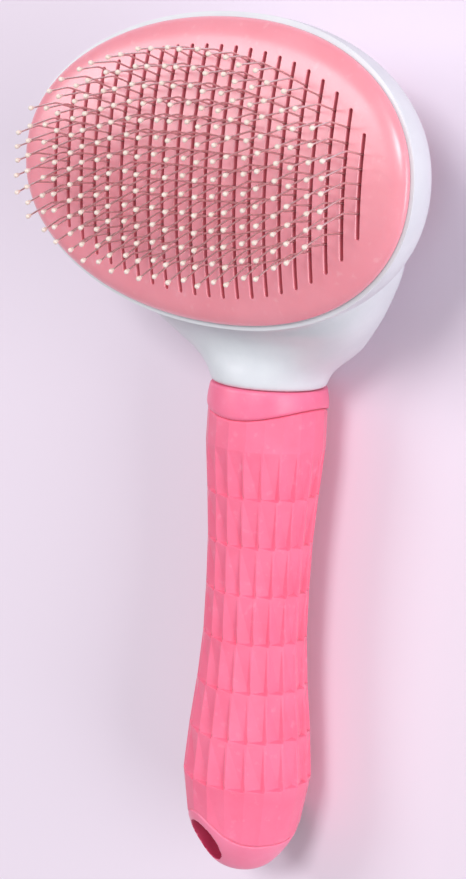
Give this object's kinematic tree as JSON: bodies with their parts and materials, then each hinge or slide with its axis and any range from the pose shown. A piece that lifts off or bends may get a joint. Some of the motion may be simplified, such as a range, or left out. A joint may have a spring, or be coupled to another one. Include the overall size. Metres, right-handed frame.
{
  "type": "slicker brush",
  "caption": "Pet slicker brush: oval slotted face plate over bent wire pins with ball tips, push button that lifts the plate to shed hair, faceted soft grip, end cap with a hanging hole",
  "frame": {"origin": "on the surface that the brush lies on, under the middle of its bounding box", "axes": "the brush lies on its back: +Z is the way the pins and the face plate point, +Y runs along the handle to the top of the head, X is across the head"},
  "size_m": [0.1072, 0.1992, 0.0578],
  "materials": {
    "face_plastic": "satin",
    "button_plastic": "satin",
    "white_plastic": "matte",
    "housing_plastic": "satin",
    "screw_steel": "bright",
    "spring_steel": "drawn wire",
    "carrier_plastic": "matte",
    "pin_steel": "drawn wire",
    "pad_rubber": "matte",
    "tip_plastic": "glossy",
    "collar_plastic": "satin",
    "grip_rubber": "soft matte",
    "cap_plastic": "satin"
  },
  "bodies": {
    "body": {"return_springs": "spring_steel", "pin_base": "carrier_plastic", "pin_pad": "pad_rubber", "backing_plate": "white_plastic", "pin_base_screws": "screw_steel", "pin_wires_odd": "pin_steel", "pin_wires_even": "pin_steel", "pin_tips": "tip_plastic", "head_housing": "housing_plastic", "rear_cover": "housing_plastic", "rear_cover_screws": "screw_steel", "handle_core": "white_plastic", "handle_screw": "screw_steel", "handle_washer": "screw_steel", "collar_ring": "collar_plastic", "grip_sleeve": "grip_rubber", "end_cap": "cap_plastic"},
    "ejector": {"face_plate": "face_plastic", "ejector_frame": "white_plastic", "push_button": "button_plastic", "button_screws": "screw_steel"}
  },
  "joints": [
    {"name": "hair_release", "type": "slide", "parent": "body", "child": "ejector", "axis": [0, 0, 1], "range_m": [0, 0.008], "stiffness_N_per_m": 400, "springref_m": -0.02, "deforming": ["return_springs"]}
  ]
}
